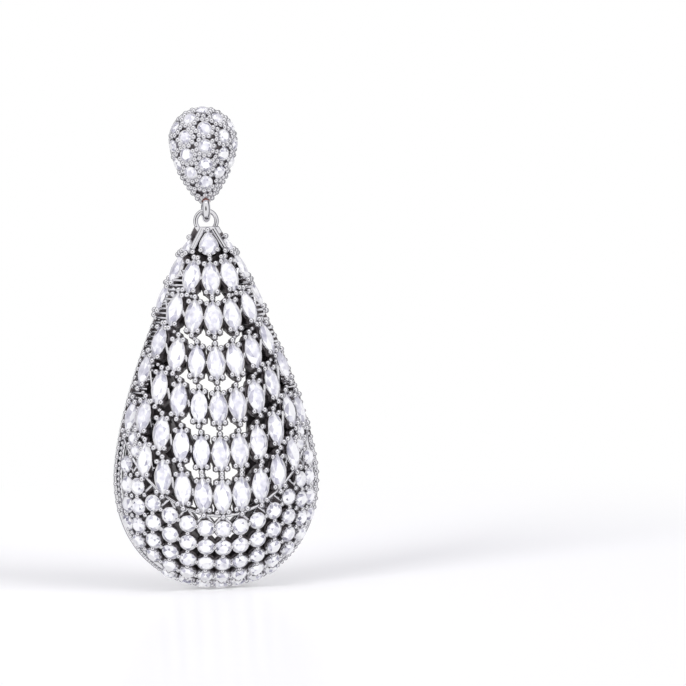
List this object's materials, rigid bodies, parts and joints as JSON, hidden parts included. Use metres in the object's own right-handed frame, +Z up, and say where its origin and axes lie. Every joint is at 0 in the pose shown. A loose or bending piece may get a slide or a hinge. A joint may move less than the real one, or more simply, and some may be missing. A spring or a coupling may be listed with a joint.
{
  "type": "teardrop drop earring",
  "caption": "Drop earring in white metal: a pave teardrop stud and a large domed openwork teardrop set with marquise and round clear stones.",
  "frame": {"origin": "root of the ear post, in the flat back face of the stud", "axes": "+Z up, from the drop to the stud; the stones face -Y and the post points to +Y; X = 0 is the middle plane"},
  "size_m": [0.0222, 0.0214, 0.0525],
  "materials": {
    "rhodium_plate": "rhodium-plated, polished",
    "clear_stones": "clear cubic zirconia, faceted, in polished white metal settings"
  },
  "bodies": {
    "stud": {"stud_frame": "rhodium_plate", "stud_pave": "clear_stones"},
    "drop": {"drop_frame": "rhodium_plate", "marquise_gallery": "clear_stones", "round_gallery": "clear_stones"}
  },
  "joints": [
    {"name": "drop_swing", "type": "hinge", "parent": "stud", "child": "drop", "pos_m": [0, -0.00142, -0.00857], "axis": [0, 1, 0], "range_deg": [-90, 90]}
  ]
}
